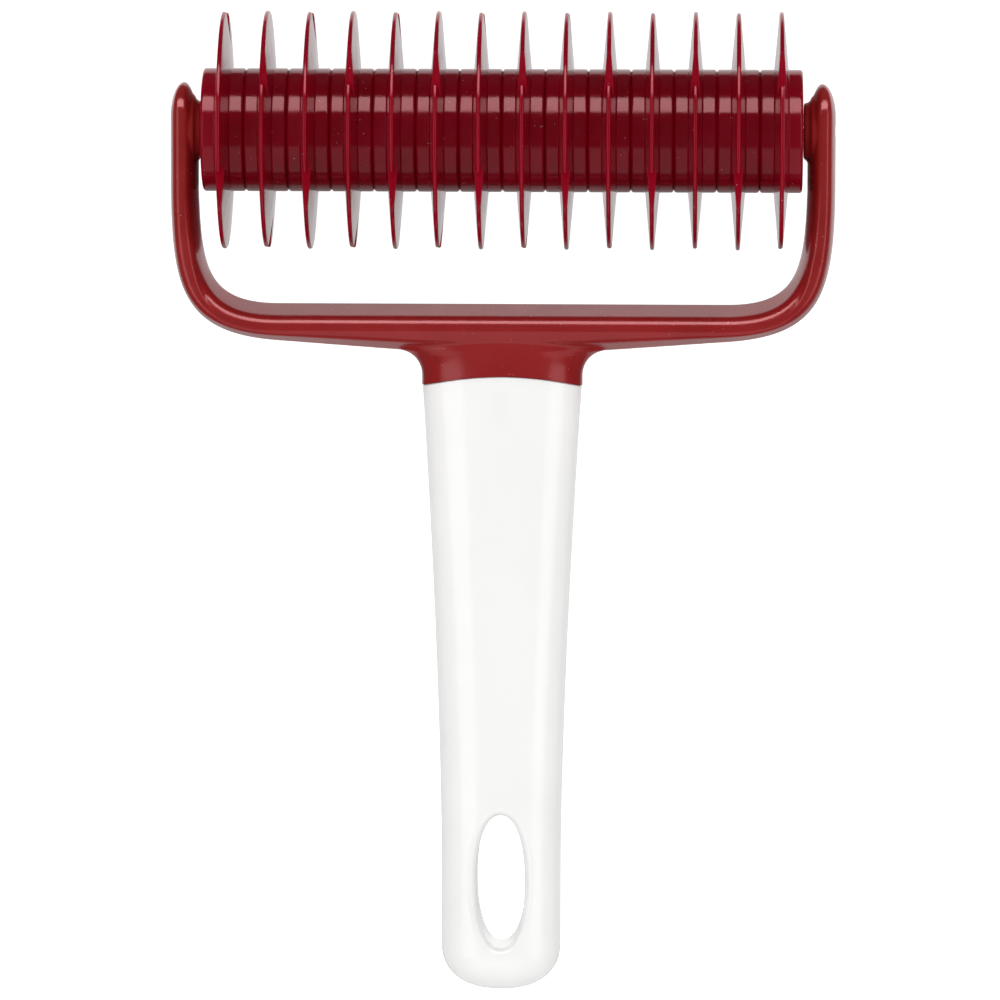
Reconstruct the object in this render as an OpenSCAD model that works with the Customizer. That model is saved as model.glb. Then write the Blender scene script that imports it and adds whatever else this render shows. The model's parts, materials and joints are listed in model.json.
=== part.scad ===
// Lattice pastry roller. Notched cutting wheels, keyed together by a six-sided spindle, roll on a
// steel axle in a fork with a hollow handle.
//
// The roller lies on its wheels and on the end of its handle, on the plane z = 0. X runs along the
// axle, +Y from the handle to the wheels, and +Z up. Every sub-part is drawn in the tool's own
// plane, with the axle on the X axis and the handle along -Y, and lay() then tips it into place.

/* [Wheels] */
// Number of cutting wheels
wheel_count = 14; // [8:2:14]
// Distance from one blade to the next
wheel_pitch = 8.55; // [8:0.05:10]
// Radius at the edge of a blade
blade_r = 23.8; // [22:0.1:26]
// Thickness of a blade just inside its rounded edge
blade_edge = 0.8; // [0.5:0.05:1.2]
// Thickness of a blade where it meets its hub
blade_root = 2.85; // [2:0.05:3.4]
// Radius of a hub
hub_r = 12.3; // [11:0.1:13.5]
// Rounding at the ends of a hub
hub_round = 0.6; // [0.2:0.1:1]
// Gap between neighbouring hubs
hub_gap = 0.1; // [0.05:0.05:0.3]

/* [Notches] */
// Number of notches round a blade
notch_count = 3; // [2:1:4]
// Radius at the foot of a notch
notch_foot_r = 17.2; // [15:0.1:21]
// Angle that a notch takes at the edge of a blade
notch_arc = 19; // [10:0.5:30]
// Angle from the top of a blade to the step of its first notch
step_angle = 21.5; // [10:0.5:30]
// Angle that the whole roller is turned by as it lies
roller_turn = -2.1; // [-8:0.1:8]

/* [Axle and spindle] */
// Radius of the steel axle
axle_r = 2; // [1.5:0.1:3]
// Running clearance between axle and spindle
axle_clearance = 0.05; // [0.03:0.01:0.1]
// Width of the spindle across its flats
spindle_flats = 12; // [9:0.5:15]
// Clearance between a spindle flat and the wheel on it
key_clearance = 0.05; // [0.02:0.01:0.1]
// Radius of the plug that closes the axle's bore
cap_r = 3.4; // [2.6:0.1:4.2]
// Thickness of that plug at its middle
cap_t = 1.7; // [1:0.1:2]

/* [Fork] */
// Width of an arm beside the wheels
arm_w = 5.65; // [5:0.05:7]
// Depth of an arm at the axle
arm_d = 15; // [14:0.5:17]
// How far an arm reaches past the axle
arm_reach = 9.5; // [8:0.5:12]
// Distance from the axle to the inner edge of the bar
bar_inner = 34.7; // [31:0.1:40]
// Width of the bar next to the arms
bar_w = 7.6; // [6.5:0.1:9]
// How much wider the bar is at its middle
bar_swell = 3.2; // [1:0.1:4]
// Depth of the bar
bar_d = 17.4; // [14:0.2:18]
// Radius of the boss that carries the axle
boss_r = 5.7; // [5:0.1:6.4]
// Radius of the fillets between the bar and the collar
neck_fillet = 5; // [3:0.5:6]
// How far the collar stands out past the handle
collar_lip = 0.15; // [0.1:0.05:0.8]

/* [Handle] */
// Distance from the axle to the far end of the handle
handle_end = 173.3; // [165:0.5:190]
// Distance from the axle to the joint between collar and handle, at the sides
joint_y = 51; // [49:0.1:52]
// Radius of the arch of that joint
joint_arch_r = 62; // [45:1:90]
// Width of the handle at the joint
grip_w_top = 31.9; // [28:0.1:34]
// Width of the handle at its slim end
grip_w_end = 24; // [21:0.2:27]
// Depth of the handle at the joint
grip_d_top = 14; // [13:0.2:17]
// Depth of the handle at its slim end
grip_d_end = 15; // [13:0.2:17]
// Wall of the hollow grip
grip_wall = 2.6; // [2:0.1:3.2]
// Width of the hanging hole
hole_w = 9.8; // [8:0.2:12]
// Length of the hanging hole
hole_l = 27; // [20:0.2:30]
// Distance from the far end of the handle to the hanging hole
hole_inset = 9; // [7:0.2:12]

/* [Hidden] */
$fn = 96;

stack_half = wheel_count * wheel_pitch / 2;
hub_w = wheel_pitch - hub_gap;
bore_flats = spindle_flats + 2 * key_clearance;
push_fit = 0.02;
flats_to_corner_r = 0.5 / cos(30);
edge_round = 0.25;

// Along X, from the middle outwards
side_gap = 0.2;
boss_face_x = stack_half + side_gap;
arm_inner_x = stack_half + 1;
arm_outer_x = arm_inner_x + arm_w;
cap_inner_x = arm_outer_x - cap_t;
axle_half = cap_inner_x - 0.1;
spindle_half = stack_half - hub_gap;

// Outline of the fork's corner: two curves whose ends lie on the arm and on the bar
corner_start_y = -12;
inner_corner = [
    [arm_inner_x, corner_start_y], [arm_inner_x - 0.55, -bar_inner + 6.9],
    [arm_inner_x - 1.5, -bar_inner], [arm_inner_x - 16.3, -bar_inner]
];
outer_corner = [
    [arm_outer_x, corner_start_y], [arm_outer_x - 0.2, -bar_inner + 1.9],
    [arm_outer_x - 2.7, -bar_inner - bar_w + 1.2], [arm_outer_x - 22, -bar_inner - bar_w]
];
corner_steps = 12;
bar_steps = 4;
tip_cap = 6.8;
tip_angles = [10, 24, 40, 56, 73, 90];
// The inner side of an arm's tip is cut back by this share
tip_slant = 0.3;
section_sides = 20;
// The two sides of an arm's section lean in by these shares. A higher power is a tighter corner
inner_lean = 0.42;
outer_lean = 0.25;
inner_power = 3;
outer_power = 4.5;
// The bar's section: a steep wall towards the roller and a flat front, then a bevel and a wall. The
// bevel takes a share of the bar's width past bevel_from
inner_wall_angle = 73.85;
inner_corner_reach = 2.05;
front_start = 4.6;
front_middle = 4.7;
front_end = 5;
bevel_angle = 25;
bevel_share = 0.65;
bevel_from = 6.1;
bevel_least_share = 0.25;
bevel_corner_reach = 1.4;
// Of the points on a side of that section, these shares end its wall, its corner and its front
wall_share = 0.3;
corner_share = 0.65;
front_share = 0.8;

// The neck comes out of the bar's bevel, and eases to the handle's depth between these distances
neck_top = bar_inner + 6.4;
neck_end = neck_top + 10;
neck_d = bar_d - 2;
collar_w = grip_w_top + 2 * collar_lip;
collar_d = grip_d_top + 2 * collar_lip;
oval_power = 2.4;
oval_sides = 36;
joint_gap = 0.1;
joint_crown_y = joint_y - (joint_arch_r - sqrt(pow(joint_arch_r, 2) - pow(grip_w_top / 2, 2)));

// The handle's width settles to its slim end over this length, and its end is rounded
grip_taper = 96;
end_r = grip_d_end / 2;
end_round = 9.5;
end_power = 2.3;
body_steps = 16;
end_steps = 8;
cavity_end = handle_end - hole_inset - hole_l - 5;
tang_end = joint_y + 27;
tang_wall = 2.4;
hole_flare = 1.6;
hole_power = 2.2;

// The tool lies on the wheels and on the round end of the handle
lie_angle = asin((blade_r - end_r) / (handle_end - end_r));
lie_back = (handle_end - end_r) * cos(lie_angle) + end_r;
middle_shift = (lie_back - blade_r) / 2;

function wheel_name(i) = str("wheel_", i < 10 ? "0" : "", i);

// ---- Curves ----

function signed_power(value, power) = sign(value) * pow(abs(value), power);

function bezier(p, t) =
    pow(1 - t, 3) * p[0] + 3 * pow(1 - t, 2) * t * p[1] + 3 * (1 - t) * t * t * p[2] + t * t * t * p[3];

function smooth(t) = t <= 0 ? 0 : t >= 1 ? 1 : t * t * (3 - 2 * t);

// An arm's section at an angle, as [share of the way from its inner to its outer edge, height]
function arm_section(a, depth) =
    let (
        e = 2 / (cos(a) > 0 ? inner_power : outer_power),
        lean = cos(a) > 0 ? inner_lean : outer_lean,
        v = signed_power(sin(a), e)
    )
    [(1 - signed_power(cos(a), e) * (1 - lean * abs(v))) / 2, v * depth / 2];

// A wall from p[0], a corner at p[1] that is rounded over a reach, a front to p[2], and on to p[3]
function rounded_side(q, p, reach) =
    let (
        before = p[1] + reach * (p[0] - p[1]) / norm(p[0] - p[1]),
        after = p[1] + reach * (p[2] - p[1]) / norm(p[2] - p[1]),
        t = (q - wall_share) / (corner_share - wall_share)
    )
    q <= wall_share ? p[0] + (before - p[0]) * q / wall_share :
    q <= corner_share ? pow(1 - t, 2) * before + 2 * t * (1 - t) * p[1] + t * t * after :
    q <= front_share ? after + (p[2] - after) * (q - corner_share) / (front_share - corner_share) :
    p[2] + (p[3] - p[2]) * (q - front_share) / (1 - front_share);

// The bar's section at an angle, in the same form as the arm's
function bar_section(a, depth, width) =
    let (
        half = depth / 2,
        q = 1 - abs(abs(a > 180 ? a - 360 : a) - 90) / 90,
        bevel = max((width - front_end) * bevel_least_share, (width - bevel_from) * bevel_share),
        middle = [front_middle, half],
        inner_side = [[0, 0], [half / tan(inner_wall_angle), half], [front_start, half], middle],
        outer_side = [
            [width, 0], [front_end + bevel, half - bevel * tan(bevel_angle)], [front_end, half], middle
        ],
        p = cos(a) > 0 ?
            rounded_side(q, inner_side, inner_corner_reach) :
            rounded_side(q, outer_side, min(bevel_corner_reach, 0.8 * bevel))
    )
    [p.x / width, sin(a) < 0 ? -p.y : p.y];

// One ring across the fork between an inner and an outer point of its outline. Its section is an
// arm's where bar_share is 0 and the bar's where it is 1
function fork_ring(inner, outer, depth, bar_share = 0) =
    [for (k = [0 : section_sides - 1])
        let (
            a = 360 * k / section_sides,
            s = arm_section(a, depth) * (1 - bar_share)
                + (bar_share > 0 ? bar_section(a, depth, norm(outer - inner)) * bar_share : [0, 0]),
            p = inner + (outer - inner) * s.x
        )
        [p.x, p.y, s.y]];

// One oval ring across the neck, the tang or the handle, at a distance from the axle
function oval_ring(distance, width, depth, sides = oval_sides) =
    [for (k = [0 : sides - 1])
        let (a = -360 * k / sides, e = 2 / oval_power)
        [width / 2 * signed_power(cos(a), e), -distance, depth / 2 * signed_power(sin(a), e)]];

// A closed solid through rings that all have the same number of points
module loft(rings) {
    n = len(rings[0]);
    last = len(rings) - 1;
    sides = [for (i = [0 : last - 1], j = [0 : n - 1])
        let (a = i * n + j, b = i * n + (j + 1) % n)
        each [[a, b, a + n], [b, b + n, a + n]]];
    start_face = [for (j = [n - 1 : -1 : 0]) j];
    end_face = [for (j = [0 : n - 1]) last * n + j];
    polyhedron([for (ring = rings) each ring], concat(sides, [start_face, end_face]));
}

// ---- Placing ----

// Tips the tool so that it rests on its wheels and the end of its handle
module lay() {
    translate([0, middle_shift, blade_r]) rotate([lie_angle, 0, 0]) children();
}

// Puts a piece of the roller on the axle, turned as the roller lies
module at_roller() {
    translate([0, middle_shift, blade_r]) rotate([-roller_turn, 0, 0]) children();
}

// Turns a shape drawn along Z so that it lies along the axle
module along_axle() {
    rotate([0, 90, 0]) children();
}

// ---- Wheels ----

// Half of a wheel's profile, as [radius, distance along the axle]
module wheel_profile() {
    half = hub_w / 2;
    offset_x = hub_round * (1 - cos(45));
    polygon([
        [0, -half], [hub_r - hub_round, -half], [hub_r - offset_x, -half + offset_x],
        [hub_r, -half + hub_round], [hub_r, -blade_root / 2],
        [blade_r - edge_round, -blade_edge / 2], [blade_r, -blade_edge / 2 + edge_round],
        [blade_r, blade_edge / 2 - edge_round], [blade_r - edge_round, blade_edge / 2],
        [hub_r, blade_root / 2], [hub_r, half - hub_round],
        [hub_r - offset_x, half - offset_x], [hub_r - hub_round, half], [0, half]
    ]);
}

// The space of one notch: a step along a radius, and a straight ramp back to the edge
module notch() {
    reach = 1.12;
    foot = notch_foot_r * [1, 0];
    ramp_end = blade_r * [cos(notch_arc), sin(notch_arc)];
    beyond = foot + (ramp_end - foot) * reach;
    linear_extrude(hub_w, center = true)
        polygon([foot, [blade_r * reach, 0], blade_r * reach * [cos(notch_arc), sin(notch_arc)], beyond]);
}

// A wheel lies flat, with its top along +X. Its first notch starts step_angle away
module wheel_shape() {
    difference() {
        rotate_extrude() wheel_profile();
        for (k = [0 : notch_count - 1])
            rotate(step_angle + 360 / notch_count * k) notch();
        cylinder(h = hub_w + 2, r = bore_flats * flats_to_corner_r, center = true, $fn = 6);
    }
}

// Odd wheels are the same part turned end for end, which staggers their notches
module wheel(i) {
    x = (i - (wheel_count + 1) / 2) * wheel_pitch;
    turned_over = i % 2 == 1 ? 180 : 0;
    color([0.55, 0.02, 0.1])
    at_roller() translate([x, 0, 0]) rotate([0, -90, 0]) rotate([turned_over, 0, 0]) wheel_shape();
}

module spindle() {
    corner_r = spindle_flats * flats_to_corner_r;
    color([0.35, 0.02, 0.06])
    at_roller() along_axle() difference() {
        cylinder(h = 2 * spindle_half, r = corner_r, center = true, $fn = 6);
        cylinder(h = 2 * spindle_half + 2, r = axle_r + axle_clearance, center = true);
    }
}

// ---- Axle ----

module axle() {
    tip_chamfer = 0.4;
    color([0.75, 0.76, 0.78])
    lay() along_axle() union() {
        cylinder(h = 2 * (axle_half - tip_chamfer), r = axle_r, center = true);
        for (end = [0, 1])
            mirror([0, 0, end]) translate([0, 0, axle_half - tip_chamfer])
                cylinder(h = tip_chamfer, r1 = axle_r, r2 = axle_r - tip_chamfer);
    }
}

// A plug whose outer face follows the arm's
module axle_cap(end) {
    color([0.55, 0.11, 0.12])
    lay() mirror([end, 0, 0]) intersection() {
        translate([cap_inner_x, 0, 0]) along_axle() cylinder(h = cap_t + 1, r = cap_r);
        loft(yoke_rings());
    }
}

module axle_cap_left() {
    axle_cap(1);
}

module axle_cap_right() {
    axle_cap(0);
}

// ---- Fork ----

// Rings from the tip of the right arm to the middle of the bar
function half_yoke() =
    let (
        bar_x = [inner_corner[3].x, outer_corner[3].x],
        bar_low = -bar_inner - bar_w - bar_swell
    )
    concat(
        [for (a = tip_angles)
            let (
                y = arm_reach - tip_cap * (1 - cos(a)),
                middle = (arm_inner_x + arm_outer_x) / 2,
                half = arm_w / 2 * sin(a)
            )
            fork_ring([middle - half * (1 - tip_slant * cos(a)), y], [middle + half, y], arm_d * sin(a))],
        [fork_ring([arm_inner_x, -5], [arm_outer_x, -5], arm_d)],
        [for (i = [0 : corner_steps])
            let (t = i / corner_steps)
            fork_ring(
                bezier(inner_corner, t),
                bezier(outer_corner, t),
                arm_d + (bar_d - arm_d) * smooth(t),
                smooth((t - 0.3) / 0.5)
            )],
        [for (i = [1 : bar_steps])
            let (t = i / bar_steps)
            fork_ring(
                [bar_x[0] * (1 - t), inner_corner[3].y * (1 - t) - bar_inner * t],
                [bar_x[1] * (1 - t), outer_corner[3].y * (1 - t) + bar_low * t],
                bar_d,
                1
            )]
    );

function mirrored(ring) = [for (p = ring) [-p.x, p.y, p.z]];

function yoke_rings() =
    let (half = half_yoke(), n = len(half))
    concat(half, [for (i = [n - 2 : -1 : 0]) mirrored(half[i])]);

// Width of the neck: the collar's, with a round fillet up to the bar
function neck_width(distance) =
    let (rise = min(neck_fillet, max(0, neck_end - 2.2 - distance)))
    collar_w + 2 * (neck_fillet - sqrt(pow(neck_fillet, 2) - pow(rise, 2)));

function neck_depth(distance) =
    let (rest = min(1, max(0, (neck_end - distance) / (neck_end - neck_top))))
    collar_d + (neck_d - collar_d) * pow(rest, 2);

module neck() {
    steps = 12;
    inside_bar = neck_top - 1.5;
    loft(concat(
        [for (i = [0 : steps])
            let (d = inside_bar + (neck_end - inside_bar) * i / steps)
            oval_ring(d, neck_width(d), neck_depth(d))],
        [oval_ring(joint_y + 3, collar_w, collar_d)]
    ));
}

// Everything on the roller's side of the arched joint between collar and handle
module beyond_joint() {
    reach = 12;
    difference() {
        translate([-grip_w_top, -joint_y - 4, -grip_w_top])
            cube([2 * grip_w_top, reach, 2 * grip_w_top]);
        joint_disc(joint_arch_r);
    }
}

module joint_disc(r) {
    translate([0, -joint_crown_y - joint_arch_r, 0])
        cylinder(h = 3 * collar_d, r = r, center = true, $fn = 180);
}

// The boss flares into the arm with a concave fillet
module boss() {
    flare = 1.2;
    root_x = arm_inner_x + arm_w / 2;
    flare_x = boss_face_x + 0.3;
    steps = 6;
    along_axle() rotate_extrude() polygon(concat(
        [[0, boss_face_x], [boss_r, boss_face_x]],
        [for (i = [0 : steps])
            let (a = 90 * i / steps)
            [boss_r + flare * (1 - cos(a)), flare_x + flare * sin(a)]],
        [[boss_r + flare, root_x], [0, root_x]]
    ));
}

module tang() {
    reach_in = 3;
    fit = 2 * (grip_wall + joint_gap);
    from = joint_crown_y - reach_in;
    steps = 4;
    loft([for (i = [0 : steps])
        let (d = from + (tang_end - from) * i / steps)
        oval_ring(d, grip_width(d) - fit, grip_depth(d) - fit, 24)]);
}

// The pocket that keeps the tang's wall even
module tang_pocket() {
    width = grip_width(tang_end) - 2 * (grip_wall + tang_wall) - 1;
    depth = grip_depth(tang_end) - 2 * (grip_wall + tang_wall) - 1;
    length = tang_end - joint_y - 2;
    r = depth / 2;
    translate([0, -tang_end - 1, 0]) rotate([-90, 0, 0]) linear_extrude(length + 1) union() {
        square([width - 2 * r, depth], center = true);
        for (side = [-1, 1]) translate([side * (width / 2 - r), 0]) circle(r);
    }
}

module fork() {
    color([0.55, 0.11, 0.12])
    lay() difference() {
        union() {
            loft(yoke_rings());
            difference() {
                neck();
                joint_disc(joint_arch_r + joint_gap);
            }
            tang();
            for (end = [0, 1]) mirror([end, 0, 0]) boss();
        }
        along_axle() cylinder(h = 2 * arm_outer_x + 2, r = axle_r + push_fit, center = true);
        for (end = [0, 1])
            mirror([end, 0, 0]) translate([cap_inner_x - push_fit, 0, 0])
                along_axle() cylinder(h = 2 * cap_t, r = cap_r + push_fit);
        tang_pocket();
    }
}

// ---- Handle ----

// How much of its full width and depth the handle has near its round end
function end_width_share(distance) =
    let (t = max(0, distance - (handle_end - end_round)) / end_round)
    pow(max(0, 1 - pow(t, end_power)), 1 / end_power);

function end_depth_share(distance) =
    let (t = max(0, distance - (handle_end - end_r)) / end_r)
    sqrt(max(0, 1 - t * t));

function grip_width(distance) =
    let (t = max(0, 1 - (distance - joint_y) / grip_taper))
    grip_w_end + (grip_w_top - grip_w_end) * pow(t, 1.55);

function grip_depth(distance) =
    let (t = min(1, max(0, (distance - joint_y) / (handle_end - end_r - joint_y))))
    grip_d_end + (grip_d_top - grip_d_end) * pow(1 - t, 1.3);

module grip_body() {
    top = joint_y - 4;
    bend = handle_end - end_round;
    loft(concat(
        [for (i = [0 : body_steps])
            let (d = top + (bend - top) * i / body_steps)
            oval_ring(d, grip_width(d), grip_depth(d))],
        [for (i = [1 : end_steps])
            let (d = bend + end_round * sin(88 * i / end_steps))
            oval_ring(d, grip_width(d) * end_width_share(d), grip_depth(d) * end_depth_share(d))]
    ));
}

module cavity() {
    steps = 8;
    top = joint_y - 5;
    loft([for (i = [0 : steps])
        let (d = top + (cavity_end - top) * i / steps)
        oval_ring(d, grip_width(d) - 2 * grip_wall, grip_depth(d) - 2 * grip_wall, 24)]);
}

// The hanging hole, an oval that flares at both faces
module hanging_hole() {
    middle = handle_end - hole_inset - hole_l / 2;
    straight = end_r - hole_flare;
    over = end_r + 2;
    grow = over - straight;
    heights = [-over, -straight, straight, over];
    rims = [grow, 0, 0, grow];
    loft([for (i = [0 : 3])
        [for (k = [0 : oval_sides - 1])
            let (a = -360 * k / oval_sides, e = 2 / hole_power)
            [
                (hole_w / 2 + rims[i]) * signed_power(cos(a), e),
                -middle + (hole_l / 2 + rims[i]) * signed_power(sin(a), e),
                heights[i]
            ]]]);
}

module handle() {
    color([0.95, 0.95, 0.94])
    lay() difference() {
        grip_body();
        beyond_joint();
        cavity();
        hanging_hole();
    }
}

fork();
handle();
axle();
spindle();
axle_cap_left();
axle_cap_right();
for (i = [1 : wheel_count]) wheel(i);
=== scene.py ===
"""Looks of the lattice pastry roller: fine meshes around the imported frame, plastics, studio, camera.

Shapes are worked out in the tool's own plane, in millimetres: the axle is the X axis, the handle
runs along -Y, and Z is the tool's thickness. lay() tips them on to the floor, in metres.
"""

import json
import math

import bmesh
import bpy
import numpy as np
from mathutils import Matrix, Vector
from mathutils.bvhtree import BVHTree


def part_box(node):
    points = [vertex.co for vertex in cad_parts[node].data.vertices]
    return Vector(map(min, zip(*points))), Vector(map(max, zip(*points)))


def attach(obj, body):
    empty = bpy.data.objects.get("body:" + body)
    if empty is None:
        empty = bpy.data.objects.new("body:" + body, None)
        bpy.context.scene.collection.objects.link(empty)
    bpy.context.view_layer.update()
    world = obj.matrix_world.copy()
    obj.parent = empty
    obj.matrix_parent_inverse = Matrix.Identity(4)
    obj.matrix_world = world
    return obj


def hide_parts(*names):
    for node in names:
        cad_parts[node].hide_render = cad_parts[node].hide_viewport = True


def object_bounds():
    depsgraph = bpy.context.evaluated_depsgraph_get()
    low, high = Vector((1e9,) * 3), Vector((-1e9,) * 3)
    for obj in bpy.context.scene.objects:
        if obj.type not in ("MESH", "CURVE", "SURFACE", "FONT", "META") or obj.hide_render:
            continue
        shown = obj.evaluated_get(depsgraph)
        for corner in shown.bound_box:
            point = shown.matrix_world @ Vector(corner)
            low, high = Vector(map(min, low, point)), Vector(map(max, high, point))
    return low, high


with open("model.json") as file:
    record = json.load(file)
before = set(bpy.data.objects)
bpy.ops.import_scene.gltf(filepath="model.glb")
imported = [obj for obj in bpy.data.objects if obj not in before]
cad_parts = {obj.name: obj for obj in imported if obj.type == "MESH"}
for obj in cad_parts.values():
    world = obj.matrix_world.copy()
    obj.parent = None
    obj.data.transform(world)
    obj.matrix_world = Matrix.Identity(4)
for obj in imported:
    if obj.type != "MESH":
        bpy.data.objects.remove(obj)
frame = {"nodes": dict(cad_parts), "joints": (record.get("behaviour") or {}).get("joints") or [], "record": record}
cad_low, cad_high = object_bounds()
MM = 0.001

# ---- Sizes, in millimetres, read from the frame where it has them ----

axle_at = Vector(frame["joints"][0]["pos_m"])
hole_axis = frame["record"]["mounts"][0]["axis"]
LIE = math.atan2(-hole_axis[1], hole_axis[2])
ARM_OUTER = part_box("fork")[1].x / MM
BLADE_R = axle_at.z / MM
WHEELS = sorted(name for name in frame["nodes"] if name.startswith("wheel_"))
HUB_GAP = 0.01
HUB_W = (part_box(WHEELS[1])[0].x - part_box(WHEELS[0])[0].x) / MM - HUB_GAP
CAP_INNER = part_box("axle_cap_right")[0].x / MM
CAP_R = (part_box("axle_cap_right")[1].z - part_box("axle_cap_right")[0].z) / MM / 2

HUB_R = 12.3
HUB_ROUND = 0.6
BORE_FLATS = 12.1
BLADE_ROOT = 2.85
BLADE_EDGE = 0.8
ROOT_FILLET = 0.25
RIM_ROUND = 0.38
RAMP_ROUND = 0.09
STEP_ROUND = 0.37
NOTCH_FOOT = 17.2
NOTCH_ARC = 19.0
NOTCHES = 3
NOTCH_COLUMNS = 14
RIM_COLUMNS = 68
HUB_STEPS = 6
FILLET_STEPS = 5
FACE_STEPS = 3
RIM_STEPS = 6
INNER_POINTS = HUB_STEPS + FILLET_STEPS + FACE_STEPS
STEP_ANGLE = 21.5
ROLLER_TURN = -2.1

ARM_W = 5.65
ARM_D = 15.0
ARM_REACH = 9.5
TIP_CAP = 6.8
TIP_SLANT = 0.3
ARM_INNER = ARM_OUTER - ARM_W
BAR_INNER = 34.7
BAR_W = 7.6
BAR_SWELL = 3.2
BAR_D = 17.4
CORNER_START = -12.0
INNER_LEAN = 0.42
OUTER_LEAN = 0.25
INNER_POWER = 3.0
OUTER_POWER = 4.5
INNER_WALL_ANGLE = 73.85
INNER_CORNER_REACH = 2.05
FRONT_START = 4.6
FRONT_MIDDLE = 4.7
FRONT_END = 5.0
BEVEL_ANGLE = 25.0
BEVEL_SHARE = 0.65
BEVEL_FROM = 6.1
BEVEL_LEAST_SHARE = 0.25
BEVEL_CORNER_REACH = 1.4
WALL_SHARE = 0.3
CORNER_SHARE = 0.65
FRONT_SHARE = 0.8
BOSS_R = 5.7
BOSS_FACE = ARM_INNER - 0.8
BOSS_FLARE = 1.2
AXLE_BORE_R = 2.02
PLUG_GAP = 0.04
DIMPLE_R = 1.3
DIMPLE_DEPTH = 0.2
FORK_VOXEL = 0.34
FILLET_PASSES = 11
EASE_PASSES = 3

HANDLE_END = 173.3
JOINT_Y = 51.0
JOINT_ARCH_R = 62.0
JOINT_GAP = 0.1
JOINT_LIP = 0.3
JOINT_REACH = 25
GRIP_W_TOP = 31.9
GRIP_W_END = 24.0
GRIP_D_TOP = 14.0
GRIP_D_END = 15.0
GRIP_WALL = 2.6
GRIP_TAPER = 96.0
END_R = GRIP_D_END / 2
END_TRIM = 0.02
TIP = HANDLE_END - END_TRIM
END_ROUND = 9.5
END_POWER = 2.3
OVAL_POWER = 2.4
COLLAR_W = GRIP_W_TOP + 0.3
COLLAR_D = GRIP_D_TOP + 0.3
NECK_FILLET = 5.0
NECK_TOP = BAR_INNER + 6.4
NECK_END = NECK_TOP + 10.0
NECK_D = BAR_D - 2.0
HOLE_W = 9.8
HOLE_L = 27.0
HOLE_INSET = 9.0
HOLE_FILLET = 1.6
HOLE_POWER = 2.2
HOLE_MIDDLE = HANDLE_END - HOLE_INSET - HOLE_L / 2
QUARTER = 28
CAVITY_END = HANDLE_END - HOLE_INSET - HOLE_L - 5
TANG_END = JOINT_Y + 27
TANG_TAPER = 0.6
JOINT_CROWN = JOINT_Y - (JOINT_ARCH_R - math.sqrt(JOINT_ARCH_R**2 - (GRIP_W_TOP / 2) ** 2))

# ---- Studio, in metres and degrees ----

CAMERA_AT = (0.0398, -0.0021, 1.4823)
CAMERA_TURN = (0.109, 1.571, 0.28)
CAMERA_LENS = 262.8
LIGHT_DISTANCE = 1.0
FAR_ANGLE = 50
FAR_SIZE = (1.3, 0.49)


# ---- Geometry helpers ----


def lay(points):
    """Tool coordinates in millimetres to the part's frame in metres."""
    p = np.asarray(points, float)
    y = p[:, 1] * math.cos(LIE) - p[:, 2] * math.sin(LIE)
    z = p[:, 1] * math.sin(LIE) + p[:, 2] * math.cos(LIE)
    return np.stack([p[:, 0], y, z], axis=1) * MM + np.array(axle_at)


def signed_power(value, power):
    return np.sign(value) * np.abs(value) ** power


def smooth(t):
    t = np.clip(t, 0, 1)
    return t * t * (3 - 2 * t)


def bezier(points, t):
    weights = [(1 - t) ** 3, 3 * (1 - t) ** 2 * t, 3 * (1 - t) * t * t, t**3]
    return sum(w * np.array(p, float) for w, p in zip(weights, points))


def grid_faces(rows, columns, first=0, closed=False):
    """Quads over a grid of points stored row by row."""
    faces = []
    for i in range(rows - 1):
        for j in range(columns if closed else columns - 1):
            k = (j + 1) % columns
            a = first + i * columns
            faces.append((a + j, a + k, a + k + columns, a + j + columns))
    return faces


def loft(rings):
    """Points and faces of a closed solid through rings with the same number of points."""
    rings = [np.asarray(ring, float) for ring in rings]
    count = len(rings[0])
    faces = grid_faces(len(rings), count, closed=True)
    faces.append(tuple(range(count)))
    last = (len(rings) - 1) * count
    faces.append(tuple(range(last + count - 1, last - 1, -1)))
    return np.concatenate(rings), faces


def revolve_x(profile, steps):
    """A solid turned round the X axis from a closed profile of (radius, x) points."""
    rings = []
    for k in range(steps):
        a = math.tau * k / steps
        rings.append([(x, r * math.sin(a), r * math.cos(a)) for r, x in profile])
    count = len(profile)
    faces = grid_faces(steps, count, closed=True)
    for j in range(count):
        k = (j + 1) % count
        last = (steps - 1) * count
        faces.append((last + j, last + k, k, j))
    return np.concatenate([np.array(r) for r in rings]), faces


def build(name, parts, sharp=35.0, merge=1e-6):
    """One mesh object from (points, faces) parts in tool coordinates, welded and facing outwards."""
    mesh = bpy.data.meshes.new(name)
    points, faces = [], []
    for part_points, part_faces in parts:
        first = sum(len(p) for p in points)
        points.append(lay(part_points))
        faces += [tuple(first + i for i in face) for face in part_faces]
    mesh.from_pydata(np.concatenate(points).tolist(), [], faces)
    weld(mesh, merge)
    piece = bpy.data.objects.new(name, mesh)
    bpy.context.scene.collection.objects.link(piece)
    shade(piece, sharp)
    return piece


def weld(mesh, merge):
    """Merges points that lie together, drops faces without area, and faces all outwards."""
    bm = bmesh.new()
    bm.from_mesh(mesh)
    bmesh.ops.remove_doubles(bm, verts=bm.verts, dist=merge)
    bmesh.ops.dissolve_degenerate(bm, edges=bm.edges, dist=merge)
    bmesh.ops.recalc_face_normals(bm, faces=bm.faces)
    bm.to_mesh(mesh)
    bm.free()


def shade(piece, sharp):
    piece.data.shade_smooth()
    piece.data.set_sharp_from_angle(angle=math.radians(sharp))


def apply_modifiers(piece):
    """Replaces the piece's mesh with what its modifiers make of it."""
    graph = bpy.context.evaluated_depsgraph_get()
    mesh = bpy.data.meshes.new_from_object(piece.evaluated_get(graph))
    piece.modifiers.clear()
    old = piece.data
    piece.data = mesh
    bpy.data.meshes.remove(old)


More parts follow.
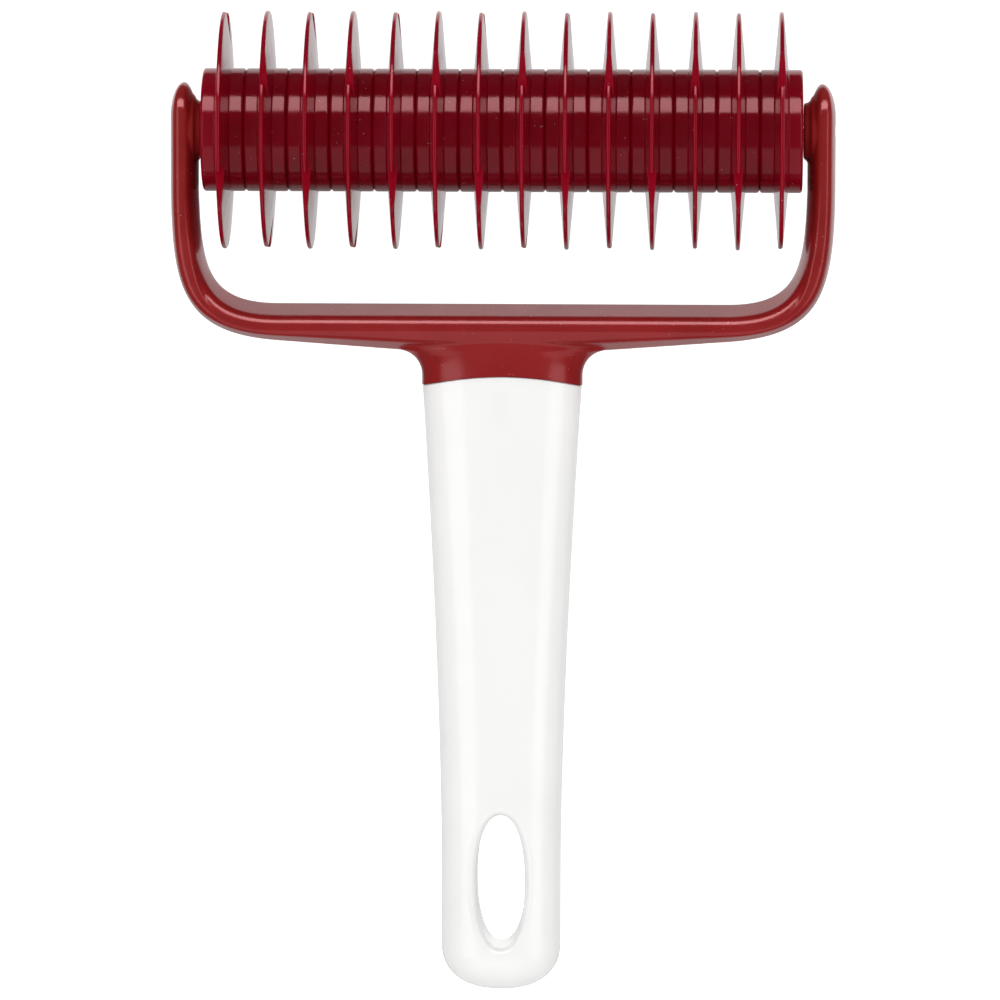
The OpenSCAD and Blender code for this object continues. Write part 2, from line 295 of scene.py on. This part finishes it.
def wear(piece, body, slot, material, *nodes):
    """Puts the piece on its body in place of CAD nodes, with its material."""
    piece.data.materials.clear()
    piece.data.materials.append(material)
    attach(piece, body)
    if nodes:
        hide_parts(*nodes)
    return piece


# ---- Plastics and steel ----


def ramp(tree, value, low, high, to_low, to_high):
    node = tree.nodes.new("ShaderNodeMapRange")
    sockets = ("From Min", "From Max", "To Min", "To Max")
    for socket, number in zip(sockets, (low, high, to_low, to_high)):
        node.inputs[socket].default_value = number
    tree.links.new(value, node.inputs["Value"])
    return node.outputs["Result"]


class Nodes:
    """A short way to write a material's node tree."""

    def __init__(self, name):
        self.material = bpy.data.materials.new(name)
        self.material.use_nodes = True
        self.tree = self.material.node_tree
        self.shader = self.tree.nodes["Principled BSDF"]
        self.place = self.tree.nodes.new("ShaderNodeTexCoord").outputs["Object"]

    def noise(self, size_mm, detail=3.0, stretch=(1, 1, 1)):
        """Noise whose features are about size_mm across, drawn out along an axis by stretch."""
        mapping = self.tree.nodes.new("ShaderNodeMapping")
        mapping.inputs["Scale"].default_value = [1 / s for s in stretch]
        self.tree.links.new(self.place, mapping.inputs["Vector"])
        node = self.tree.nodes.new("ShaderNodeTexNoise")
        node.inputs["Scale"].default_value = 1 / (size_mm * MM)
        node.inputs["Detail"].default_value = detail
        self.tree.links.new(mapping.outputs["Vector"], node.inputs["Vector"])
        return node.outputs["Fac"]

    def ramp(self, value, low, high, to_low, to_high):
        return ramp(self.tree, value, low, high, to_low, to_high)

    def mix(self, factor, low, high):
        """A colour between two, each a tuple or another node's output."""
        node = self.tree.nodes.new("ShaderNodeMix")
        node.data_type = "RGBA"
        self.tree.links.new(factor, node.inputs["Factor"])
        for socket, value in ((node.inputs[6], low), (node.inputs[7], high)):
            if isinstance(value, tuple):
                socket.default_value = (*value, 1.0)
            else:
                self.tree.links.new(value, socket)
        return node.outputs[2]

    def add(self, first, second):
        node = self.tree.nodes.new("ShaderNodeMath")
        node.operation = "ADD"
        self.tree.links.new(first, node.inputs[0])
        self.tree.links.new(second, node.inputs[1])
        return node.outputs["Value"]

    def bump(self, height, strength, distance_mm):
        node = self.tree.nodes.new("ShaderNodeBump")
        node.inputs["Strength"].default_value = strength
        node.inputs["Distance"].default_value = distance_mm * MM
        self.tree.links.new(height, node.inputs["Height"])
        self.tree.links.new(node.outputs["Normal"], self.shader.inputs["Normal"])

    def connect(self, value, socket):
        self.tree.links.new(value, self.shader.inputs[socket])


def plastic(name, deep, pale, rough, grain, speck, tint=(1, 1, 1), level=0.5):
    """Moulded plastic: slow colour drift, fine grain, patchy gloss, scuffs and dust specks."""
    n = Nodes(name)
    n.shader.inputs["Specular Tint"].default_value = (*tint, 1)
    n.shader.inputs["Specular IOR Level"].default_value = level
    drift = n.ramp(n.noise(14, 2), 0.35, 0.65, 0, 1)
    colour = n.mix(drift, deep, pale)
    dust = n.ramp(n.noise(0.55, 1), 0.77, 0.8, 0, speck)
    colour = n.mix(dust, colour, (0.75, 0.66, 0.64))
    n.connect(colour, "Base Color")
    scuffs = n.ramp(n.noise(0.5, 4, stretch=(1, 14, 1)), 0.58, 0.74, 0, 0.09)
    patches = n.ramp(n.noise(5, 3), 0.3, 0.7, rough - 0.03, rough + 0.04)
    n.connect(n.add(patches, scuffs), "Roughness")
    n.bump(n.noise(grain, 2), 0.35, 0.02)
    return n.material


def steel(name):
    n = Nodes(name)
    n.shader.inputs["Metallic"].default_value = 1.0
    lines = n.noise(0.12, 4, stretch=(40, 1, 1))
    n.connect(n.mix(lines, (0.5, 0.5, 0.52), (0.68, 0.69, 0.7)), "Base Color")
    n.connect(n.ramp(lines, 0.3, 0.7, 0.22, 0.38), "Roughness")
    n.bump(lines, 0.2, 0.01)
    return n.material


PINK = (1, 0.53, 0.55)
blade_red = plastic(
    "blade_red", (0.225, 0.0008, 0.0085), (0.26, 0.0014, 0.0125),
    rough=0.12, grain=0.4, speck=0.35, tint=PINK,
)
fork_red = plastic(
    "fork_red", (0.245, 0.0115, 0.0125), (0.28, 0.0145, 0.015),
    rough=0.18, grain=0.25, speck=0.3, tint=PINK, level=0.8,
)
spindle_red = plastic(
    "spindle_red", (0.15, 0.004, 0.005), (0.19, 0.006, 0.007), rough=0.4, grain=0.4, speck=0.1
)
grip_white = plastic(
    "grip_white", (0.92, 0.92, 0.91), (0.94, 0.94, 0.93), rough=0.12, grain=1.6, speck=0.05
)
axle_steel = steel("axle_steel")


# ---- Wheels ----


def blade_half(r):
    """Half the thickness of a blade at a radius."""
    share = (r - HUB_R) / (BLADE_R - HUB_R)
    return (BLADE_ROOT + (BLADE_EDGE - BLADE_ROOT) * share) / 2


def ramp_radius(angle):
    """Radius of a notch's straight ramp, at an angle past its step."""
    end = (BLADE_R * math.cos(math.radians(NOTCH_ARC)), BLADE_R * math.sin(math.radians(NOTCH_ARC)))
    along = (end[0] - NOTCH_FOOT, end[1])
    ray = (math.cos(math.radians(angle)), math.sin(math.radians(angle)))
    return NOTCH_FOOT * along[1] / (ray[0] * along[1] - ray[1] * along[0])


def wheel_columns():
    """(angle, outer radius, is a step) round a wheel, with two columns at each notch's step.

    The corner at the top of a step is rounded."""
    columns = []
    pitch = 360 / NOTCHES
    for k in range(NOTCHES):
        step = STEP_ANGLE + k * pitch
        columns.append((step, NOTCH_FOOT, False))
        for i in range(1, NOTCH_COLUMNS + 1):
            angle = NOTCH_ARC * i / NOTCH_COLUMNS
            columns.append((step + angle, ramp_radius(angle), False))
        corner = math.degrees(STEP_ROUND / BLADE_R)
        for i in range(1, RIM_COLUMNS + 1):
            angle = NOTCH_ARC + (pitch - corner - NOTCH_ARC) * i / RIM_COLUMNS
            columns.append((step + angle, BLADE_R, False))
        for b in (30, 60, 90):
            down = STEP_ROUND * (1 - math.cos(math.radians(b)))
            along = corner * (1 - math.sin(math.radians(b)))
            columns.append((step + pitch - along, BLADE_R - down, b == 90))
    return columns


def wheel_side(rho):
    """One side's (radius, distance from the blade's middle), from the bore's edge out to the rim."""
    half = HUB_W / 2
    centre = (HUB_R - HUB_ROUND, half - HUB_ROUND)
    side = []
    for a in np.radians(np.linspace(0, 90, HUB_STEPS)):
        side.append((centre[0] + HUB_ROUND * math.sin(a), centre[1] + HUB_ROUND * math.cos(a)))
    inner = HUB_R + ROOT_FILLET
    root = blade_half(inner)
    for a in np.radians(np.linspace(0, 90, FILLET_STEPS)):
        side.append((inner - ROOT_FILLET * math.cos(a), root + ROOT_FILLET * (1 - math.sin(a))))
    side += [(r, blade_half(r)) for r in np.linspace(inner, NOTCH_FOOT, FACE_STEPS + 1)[1:]]
    if rho <= NOTCH_FOOT + 1e-6:
        return side + [side[-1]] * (FACE_STEPS + RIM_STEPS)
    rim = RAMP_ROUND + (RIM_ROUND - RAMP_ROUND) * float(smooth((rho - BLADE_R + 1.5) / 1.5))
    rim = min(rim, 0.5 * (rho - NOTCH_FOOT))
    side += [(r, blade_half(r)) for r in np.linspace(NOTCH_FOOT, rho - rim, FACE_STEPS + 1)[1:]]
    flat = blade_half(rho - rim)
    for a in np.radians(np.linspace(0, 90, RIM_STEPS + 1))[1:]:
        side.append((rho - rim * (1 - math.sin(a)), flat - min(rim, flat) * (1 - math.cos(a))))
    return side


def wheel_mesh(centre_x, flip):
    """A wheel as columns of points round its axis, welded where a notch's step splits them."""
    columns = wheel_columns()
    points, faces = [], []
    for angle, rho, _ in columns:
        bore = BORE_FLATS / 2 / math.cos(math.radians((angle + 30) % 60 - 30))
        side = [(bore, HUB_W / 2)] + wheel_side(rho)
        loop = side + [(r, -x) for r, x in reversed(side)]
        turn = math.radians(flip * angle + ROLLER_TURN) + LIE
        points += [(centre_x + x, r * math.sin(turn), r * math.cos(turn)) for r, x in loop]
    count = len(loop)
    for i, (_, _, step) in enumerate(columns):
        here, following = i * count, (i + 1) % len(columns) * count
        if step:
            faces.append(tuple(range(here + INNER_POINTS, here + count - INNER_POINTS)))
            continue
        for j in range(count):
            k = (j + 1) % count
            faces.append((here + j, here + k, following + k, following + j))
    return np.array(points), faces


def add_wheels():
    for name in WHEELS:
        low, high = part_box(name)
        number = int(name.split("_")[1])
        flip = 1 if number % 2 == 0 else -1
        piece = build("disc_" + name[-2:], [wheel_mesh((low.x + high.x) / 2 / MM, flip)], sharp=28)
        wear(piece, "roller", "blade_red", blade_red, name)


# ---- Fork ----


def arm_section(a, depth):
    """An arm's section at angles: (share of the way from its inner to its outer edge, height)."""
    is_inner = np.cos(a) > 0
    power = 2 / np.where(is_inner, INNER_POWER, OUTER_POWER)
    lean = np.where(is_inner, INNER_LEAN, OUTER_LEAN)
    v = signed_power(np.sin(a), power)
    side = signed_power(np.cos(a), power) * (1 - lean * (np.sqrt(v * v + 0.0064) - 0.08))
    return np.column_stack([(1 - side) / 2, v * depth / 2])


def rounded_side(q, p, reach):
    """A wall from p[0], a corner at p[1] that is rounded over a reach, a front to p[2], on to p[3]."""
    p = [np.array(point, float) for point in p]
    before = p[1] + reach * (p[0] - p[1]) / np.linalg.norm(p[0] - p[1])
    after = p[1] + reach * (p[2] - p[1]) / np.linalg.norm(p[2] - p[1])
    if q <= WALL_SHARE:
        return p[0] + (before - p[0]) * q / WALL_SHARE
    if q <= CORNER_SHARE:
        t = (q - WALL_SHARE) / (CORNER_SHARE - WALL_SHARE)
        return (1 - t) ** 2 * before + 2 * t * (1 - t) * p[1] + t * t * after
    if q <= FRONT_SHARE:
        return after + (p[2] - after) * (q - CORNER_SHARE) / (FRONT_SHARE - CORNER_SHARE)
    return p[2] + (p[3] - p[2]) * (q - FRONT_SHARE) / (1 - FRONT_SHARE)


def bar_section(a, depth, width):
    """The bar's section at angles, in the same form as the arm's."""
    half = depth / 2
    bevel = max((width - FRONT_END) * BEVEL_LEAST_SHARE, (width - BEVEL_FROM) * BEVEL_SHARE)
    drop = bevel * math.tan(math.radians(BEVEL_ANGLE))
    middle = (FRONT_MIDDLE, half)
    foot = half / math.tan(math.radians(INNER_WALL_ANGLE))
    inner_side = [(0, 0), (foot, half), (FRONT_START, half), middle]
    outer_side = [(width, 0), (FRONT_END + bevel, half - drop), (FRONT_END, half), middle]
    points = []
    for angle in np.degrees(a):
        q = 1 - abs(abs(angle - 360 if angle > 180 else angle) - 90) / 90
        if math.cos(math.radians(angle)) > 0:
            point = rounded_side(q, inner_side, INNER_CORNER_REACH)
        else:
            point = rounded_side(q, outer_side, min(BEVEL_CORNER_REACH, 0.8 * bevel))
        points.append((point[0] / width, -point[1] if angle > 180 else point[1]))
    return np.array(points)


def fork_ring(inner, outer, depth, bar_share=0.0, sides=80):
    """A ring across the fork between an inner and an outer point of its outline.

    Its section is an arm's where bar_share is 0 and the bar's where it is 1."""
    a = np.arange(sides) * math.tau / sides
    section = arm_section(a, depth)
    if bar_share > 0:
        bar = bar_section(a, depth, float(np.linalg.norm(outer - inner)))
        section = section * (1 - bar_share) + bar * bar_share
    plan = inner[None, :] + section[:, :1] * (outer - inner)[None, :]
    return np.column_stack([plan, section[:, 1]])


def yoke_rings():
    """Rings from the tip of the right arm, round the bar, to the tip of the left arm."""
    inner_corner = [
        (ARM_INNER, CORNER_START), (ARM_INNER - 0.55, -BAR_INNER + 6.9),
        (ARM_INNER - 1.5, -BAR_INNER), (ARM_INNER - 16.3, -BAR_INNER),
    ]
    outer_corner = [
        (ARM_OUTER, CORNER_START), (ARM_OUTER - 0.2, -BAR_INNER + 1.9),
        (ARM_OUTER - 2.7, -BAR_INNER - BAR_W + 1.2), (ARM_OUTER - 22, -BAR_INNER - BAR_W),
    ]
    middle_x = (ARM_INNER + ARM_OUTER) / 2
    rings = []
    for a in np.radians(np.linspace(4, 90, 16)):
        y = ARM_REACH - TIP_CAP * (1 - math.cos(a))
        half = ARM_W / 2 * math.sin(a)
        inner_half = half * (1 - TIP_SLANT * math.cos(a))
        tip = (np.array([middle_x - inner_half, y]), np.array([middle_x + half, y]))
        rings.append(fork_ring(*tip, ARM_D * math.sin(a)))
    for y in np.linspace(ARM_REACH - TIP_CAP, CORNER_START, 26)[1:-1]:
        rings.append(fork_ring(np.array([ARM_INNER, y]), np.array([ARM_OUTER, y]), ARM_D))
    for t in np.linspace(0, 1, 70):
        depth = ARM_D + (BAR_D - ARM_D) * smooth(t)
        bar_share = float(smooth((t - 0.3) / 0.5))
        rings.append(fork_ring(bezier(inner_corner, t), bezier(outer_corner, t), depth, bar_share))
    inner_end, outer_end = np.array(inner_corner[3]), np.array(outer_corner[3])
    inner_middle = np.array([0, -BAR_INNER])
    outer_middle = np.array([0, -BAR_INNER - BAR_W - BAR_SWELL])
    for t in np.linspace(0, 1, 60)[1:]:
        inner = inner_end * (1 - t) + inner_middle * t
        outer = outer_end * (1 - t) + outer_middle * t
        rings.append(fork_ring(inner, outer, BAR_D, 1.0))
    return rings + [ring * np.array([-1, 1, 1]) for ring in reversed(rings[:-1])]


def oval_ring(distance, width, depth, sides=96):
    a = np.arange(sides) * math.tau / sides
    x = width / 2 * signed_power(np.cos(a), 2 / OVAL_POWER)
    z = depth / 2 * signed_power(np.sin(a), 2 / OVAL_POWER)
    return np.column_stack([x, np.full(sides, -distance), z])


def neck_rings():
    rings = []
    for d in np.linspace(NECK_TOP - 1.5, NECK_END, 40):
        rise = min(NECK_FILLET, max(0, NECK_END - 2.2 - d))
        width = COLLAR_W + 2 * (NECK_FILLET - math.sqrt(NECK_FILLET**2 - rise**2))
        rest = min(1.0, (NECK_END - d) / (NECK_END - NECK_TOP))
        depth = COLLAR_D + (NECK_D - COLLAR_D) * rest**2
        rings.append(oval_ring(d, width, depth))
    for d in np.linspace(NECK_END, JOINT_Y + 3, 8)[1:]:
        rings.append(oval_ring(d, COLLAR_W, COLLAR_D))
    return rings


def boss(side):
    """A boss that flares into the arm with a concave fillet."""
    flare_x = BOSS_FACE + 0.3
    root_x = (ARM_INNER + ARM_OUTER) / 2
    profile = [(0.0, BOSS_FACE), (BOSS_R - 0.25, BOSS_FACE), (BOSS_R, BOSS_FACE + 0.2)]
    for a in np.radians(np.linspace(0, 90, 10)):
        profile.append((BOSS_R + BOSS_FLARE * (1 - math.cos(a)), flare_x + BOSS_FLARE * math.sin(a)))
    profile += [(BOSS_R + BOSS_FLARE, root_x), (0.0, root_x)]
    return revolve_x([(r, side * x) for r, x in profile], 96)


def cylinder_x(radius, start, end, steps=96):
    return revolve_x([(0.0, start), (radius, start), (radius, end), (0.0, end)], steps)


def arch_disc(radius):
    """A disc whose rim is the arched joint between collar and handle."""
    a = np.linspace(0, math.tau, 720, endpoint=False)
    centre = -JOINT_CROWN - JOINT_ARCH_R
    reach = 20.0
    return loft([
        np.column_stack([radius * np.cos(a), centre + radius * np.sin(a), np.full(len(a), z)])
        for z in (-reach, reach)
    ])


def tree_of(piece):
    mesh = piece.data
    return BVHTree.FromPolygons([v.co for v in mesh.vertices], [p.vertices for p in mesh.polygons])


def settle_on(piece, tree, near, far):
    """Puts vertices that lie near the drawn surfaces on them. Fillets, which lie farther off, stay."""
    mesh = piece.data
    for vertex in mesh.vertices:
        place, _, _, distance = tree.find_nearest(vertex.co)
        share = 1 - float(smooth((distance - near) / (far - near)))
        if share > 0:
            vertex.co = vertex.co.lerp(place, share)


def relax(piece, passes):
    """Smooths the piece's mesh a number of times."""
    modifier = piece.modifiers.new("relax", "SMOOTH")
    modifier.factor = 0.5
    modifier.iterations = passes
    apply_modifiers(piece)


def add_fork():
    """The red moulding: its solids joined, their joints filleted, and the bores and joint cut."""
    parts = [loft(yoke_rings()), loft(neck_rings()), boss(1), boss(-1)]
    drawn = build("fork_drawn", parts, merge=1e-7)
    tree = tree_of(drawn)
    remesh = drawn.modifiers.new("join", "REMESH")
    remesh.mode = "VOXEL"
    remesh.voxel_size = FORK_VOXEL * MM
    apply_modifiers(drawn)
    relax(drawn, FILLET_PASSES)
    settle_on(drawn, tree, 0.05 * MM, 0.2 * MM)
    relax(drawn, EASE_PASSES)
    add_caps(drawn)
    cut(drawn, cylinder_x(AXLE_BORE_R, -ARM_OUTER - 1, ARM_OUTER + 1))
    for side in (-1, 1):
        cut(drawn, plug_cylinder(side, CAP_R + PLUG_GAP, PLUG_GAP))
    cut(drawn, arch_disc(JOINT_ARCH_R + JOINT_GAP))
    drawn.name = "fork_shell"
    weld(drawn.data, 1e-6)
    shade(drawn, 40)
    wear(drawn, "frame", "fork_red", fork_red, "fork")
    add_tang()


def cut(piece, part, operation="DIFFERENCE"):
    """Cuts the solid of a (points, faces) part away from the piece, or keeps only what it covers."""
    cutter = build("cutter", [part])
    boolean = piece.modifiers.new("cut", "BOOLEAN")
    boolean.operation = operation
    boolean.solver = "MANIFOLD"
    boolean.object = cutter
    apply_modifiers(piece)
    bpy.data.objects.remove(cutter)


def plug_cylinder(side, radius, gap):
    ends = sorted((side * (CAP_INNER - gap), side * (ARM_OUTER + 2)))
    return cylinder_x(radius, *ends)


def add_caps(arms):
    """Plugs whose outer faces follow the arms, each with a shallow dimple in the middle."""
    for side, name in ((-1, "axle_cap_left"), (1, "axle_cap_right")):
        piece = arms.copy()
        piece.data = arms.data.copy()
        bpy.context.scene.collection.objects.link(piece)
        cut(piece, plug_cylinder(side, CAP_R, 0), "INTERSECT")
        for vertex in piece.data.vertices:
            r = math.hypot(vertex.co.y - axle_at.y, vertex.co.z - axle_at.z)
            if r < DIMPLE_R * MM and abs(vertex.co.x) > (CAP_INNER + 0.5) * MM:
                depth = DIMPLE_DEPTH * MM * (1 - (r / (DIMPLE_R * MM)) ** 2) ** 2
                vertex.co.x -= side * depth
        piece.name = "plug_" + name.split("_")[-1]
        shade(piece, 40)
        wear(piece, "frame", "cap_red", fork_red, name)


def add_tang():
    """The fork's plug inside the hollow handle."""
    fit = 2 * (GRIP_WALL + 2 * JOINT_GAP)
    rings = []
    for d in np.linspace(JOINT_Y - 0.4, TANG_END, 12):
        width, depth = float(grip_width(d)) - fit, float(grip_depth(d)) - fit
        rings.append(oval_ring(d, width, depth, 64))
    narrower = 2 * TANG_TAPER
    rings.append(oval_ring(TANG_END + TANG_TAPER, width - narrower, depth - narrower, 64))
    wear(build("fork_tang", [loft(rings)]), "frame", "fork_red", fork_red)


# ---- Handle ----


def end_width_share(d):
    t = np.maximum(0, d - (TIP - END_ROUND)) / END_ROUND
    return np.maximum(0, 1 - t**END_POWER) ** (1 / END_POWER)


def end_depth_share(d):
    t = np.maximum(0, d - (TIP - END_R)) / END_R
    return np.sqrt(np.maximum(0, 1 - t * t))


def grip_width(d):
    t = np.maximum(0, 1 - (d - JOINT_Y) / GRIP_TAPER)
    return GRIP_W_END + (GRIP_W_TOP - GRIP_W_END) * t**1.55


def grip_depth(d):
    t = np.clip((d - JOINT_Y) / (HANDLE_END - END_R - JOINT_Y), 0, 1)
    return GRIP_D_END + (GRIP_D_TOP - GRIP_D_END) * (1 - t) ** 1.3


def arch(x):
    """How much farther from the axle the arched joint is at x than at its crown."""
    return JOINT_ARCH_R - np.sqrt(JOINT_ARCH_R**2 - np.minimum(np.abs(x), JOINT_ARCH_R - 1) ** 2)


def grip_row(start, inset=0.0, bend=0.0, gap=0.0):
    """A quarter of one row of the handle, from its side to its middle or the hole's edge.

    start is the row's distance from the axle at the middle, bend how much of the joint's arch it
    has, inset how far inside the outer surface it lies, and gap the half width of the hole there."""
    power = 2 / OVAL_POWER
    d = np.full(QUARTER + 1, float(start))
    for _ in range(4):
        half_w = np.maximum(grip_width(d) / 2 * end_width_share(d) - inset, 0)
        half_d = np.maximum(grip_depth(d) / 2 * end_depth_share(d) - inset, 0)
        reach = math.acos((min(gap, half_w[-1]) / max(half_w[-1], 1e-9)) ** (1 / power))
        tau = np.linspace(0, reach, QUARTER + 1)
        x = half_w * np.abs(np.cos(tau)) ** power
        x[-1] = gap
        z = half_d * np.abs(np.sin(tau)) ** power
        d = start + bend * arch(x)
    return np.column_stack([x, -d, z])


def hole_point(t, grow):
    """Half width and distance from the axle on the hole's oval, grown outwards by some distance."""
    across = (HOLE_W / 2 + grow) * signed_power(np.cos(t), 2 / HOLE_POWER)
    along = HOLE_MIDDLE + (HOLE_L / 2 + grow) * signed_power(np.sin(t), 2 / HOLE_POWER)
    return max(0.0, float(across)), float(along)


def grip_rows():
    """Every row of the handle: up the cavity, over its rim, and down the outside to the end."""
    straight = JOINT_CROWN + JOINT_REACH
    cavity_end = grip_row(CAVITY_END, inset=GRIP_WALL)
    rows = [cavity_end * np.array([share, 1, share]) for share in (0.0, 0.4, 0.75, 0.95)]
    for d in np.linspace(CAVITY_END, straight, 12):
        rows.append(grip_row(d, inset=GRIP_WALL))
    for d in np.linspace(straight, JOINT_CROWN, 14)[1:]:
        rows.append(grip_row(d, inset=GRIP_WALL, bend=1 - (d - JOINT_CROWN) / JOINT_REACH))
    rows.append(grip_row(JOINT_CROWN, inset=GRIP_WALL / 2, bend=1))
    for a in np.radians(np.linspace(90, 0, 6)):
        start = JOINT_CROWN + JOINT_LIP * (1 - math.sin(a))
        rows.append(grip_row(start, inset=JOINT_LIP * (1 - math.cos(a)), bend=1))
    for d in np.linspace(JOINT_CROWN + JOINT_LIP, straight, 26)[1:]:
        rows.append(grip_row(d, bend=1 - (d - JOINT_CROWN) / JOINT_REACH))
    hole_start = HOLE_MIDDLE - HOLE_L / 2 - HOLE_FILLET
    hole_end = HOLE_MIDDLE + HOLE_L / 2 + HOLE_FILLET
    for d in np.linspace(straight, hole_start, 70)[1:-1]:
        rows.append(grip_row(d))
    first = len(rows)
    for t in np.linspace(-math.pi / 2, math.pi / 2, 65):
        half, along = hole_point(t, HOLE_FILLET)
        rows.append(grip_row(along, gap=half))
    last = len(rows)
    for a in np.linspace(0, math.pi / 2, 40)[1:]:
        rows.append(grip_row(hole_end + (TIP - hole_end) * math.sin(a)))
    return rows, (first, last)


def hole_wall(rim_rows, side):
    """One side of the hanging hole: a fillet from the front, the wall, and a fillet to the back."""
    steps = 8
    points = []
    for t, row in zip(np.linspace(-math.pi / 2, math.pi / 2, len(rim_rows)), rim_rows):
        height = row[-1][2]
        fillet = []
        for b in np.linspace(0, math.pi / 2, steps + 1):
            grow = HOLE_FILLET * (1 - math.sin(b))
            x, along = hole_point(t, grow)
            fillet.append((x, -along, height - HOLE_FILLET * (1 - math.cos(b))))
        wall = fillet + [(x, y, -z) for x, y, z in reversed(fillet)]
        points += [(side * x, y, z) for x, y, z in wall]
    return np.array(points), grid_faces(len(rim_rows), 2 * (steps + 1))


def add_handle():
    rows, (first, last) = grip_rows()
    parts = []
    for side in (1, -1):
        for face in (1, -1):
            points = np.concatenate(rows) * np.array([side, 1, face])
            parts.append((points, grid_faces(len(rows), QUARTER + 1)))
        parts.append(hole_wall(rows[first:last], side))
    grip = build("handle_grip", parts, sharp=50, merge=2e-6)
    wear(grip, "frame", "handle_white", grip_white, "handle")


# ---- Studio ----


def add_floor():
    """A pale floor that stays white under the object, and that reflections look past."""
    bpy.ops.mesh.primitive_plane_add(size=6)
    floor = bpy.context.object
    floor.name = "floor"
    floor.location.z = -0.0002
    n = Nodes("floor_white")
    n.shader.inputs["Base Color"].default_value = (0.3, 0.3, 0.3, 1)
    n.shader.inputs["Roughness"].default_value = 0.9
    n.shader.inputs["Emission Color"].default_value = (1, 1, 1, 1)
    n.shader.inputs["Emission Strength"].default_value = 1.0
    floor.data.materials.append(n.material)
    floor.visible_glossy = False


def add_softbox(name, toward, size, radiance, reflected=True, spread=True):
    """A rectangular light of even radiance that faces the middle of the object.

    Lights at the far and near sides have their first size along X, lights at the ends along Y. A
    light that isn't reflected only fills the shade, and one that isn't spread only makes glints."""
    light = bpy.data.lights.new(name, "AREA")
    light.shape = "RECTANGLE"
    light.size, light.size_y = size
    light.energy = radiance * math.pi * size[0] * size[1]
    lamp = bpy.data.objects.new(name, light)
    bpy.context.scene.collection.objects.link(lamp)
    direction = Vector(toward).normalized()
    aim = (cad_low + cad_high) / 2
    lamp.location = aim + direction * LIGHT_DISTANCE
    lamp.rotation_mode = "QUATERNION"
    lamp.rotation_quaternion = direction.to_track_quat("Z", "Y")
    lamp.visible_camera = False
    lamp.visible_glossy = reflected
    lamp.visible_diffuse = spread


def from_vertical(degrees, side):
    """A direction at an angle from straight up, towards a side such as (0, 1)."""
    a = math.radians(degrees)
    return (side[0] * math.sin(a), side[1] * math.sin(a), math.cos(a))


def add_world():
    """A dim room with bright panels far below, which glossy surfaces see past the floor."""
    world = bpy.data.worlds.new("room")
    bpy.context.scene.world = world
    world.use_nodes = True
    tree = world.node_tree
    direction = tree.nodes.new("ShaderNodeTexCoord").outputs["Generated"]
    split = tree.nodes.new("ShaderNodeSeparateXYZ")
    tree.links.new(direction, split.inputs["Vector"])
    far = ramp(tree, split.outputs["Y"], -0.15, 0.15, 0.3, 0.9)
    panel = ramp(tree, split.outputs["Z"], -0.62, -0.68, 0.0, 1.0)
    glow = tree.nodes.new("ShaderNodeMath")
    glow.operation = "MULTIPLY_ADD"
    glow.inputs[2].default_value = 0.05
    tree.links.new(far, glow.inputs[0])
    tree.links.new(panel, glow.inputs[1])
    tree.links.new(glow.outputs["Value"], tree.nodes["Background"].inputs["Strength"])
    tree.nodes["Background"].inputs["Color"].default_value = (1, 1, 1, 1)


def add_studio():
    add_floor()
    add_world()
    far = from_vertical(FAR_ANGLE, (0, 1))
    add_softbox("far_strip", far, FAR_SIZE, 6.0, spread=False)
    add_softbox("far_fill", far, FAR_SIZE, 3.0, reflected=False)
    add_softbox("near_fill", from_vertical(61, (0, -1)), (1.3, 1.1), 0.6)
    add_softbox("left_box", from_vertical(36.5, (-1, 0)), (1.0, 0.49), 1.4)
    add_softbox("right_box", from_vertical(42, (1, 0)), (1.0, 0.42), 1.4)
    add_softbox("top_fill", from_vertical(15, (0, -1)), (1.6, 1.6), 1.0, reflected=False)


def add_camera():
    """Looks straight down from the photographer's place, a little to the right of the object."""
    data = bpy.data.cameras.new("view")
    data.sensor_width = 36
    data.lens = CAMERA_LENS
    data.clip_end = 20
    camera = bpy.data.objects.new("view", data)
    camera.location = CAMERA_AT
    camera.rotation_euler = [math.radians(a) for a in CAMERA_TURN]
    bpy.context.scene.collection.objects.link(camera)
    bpy.context.scene.camera = camera


def dress_cad_nodes():
    """The steel axle and the spindle keep their CAD shapes."""
    for name, material in (("axle", axle_steel), ("spindle", spindle_red)):
        node = frame["nodes"][name]
        node.data.materials.clear()
        node.data.materials.append(material)


add_camera()
add_wheels()
add_fork()
add_handle()
dress_cad_nodes()
add_studio()

bpy.context.scene.view_settings.view_transform = "Standard"
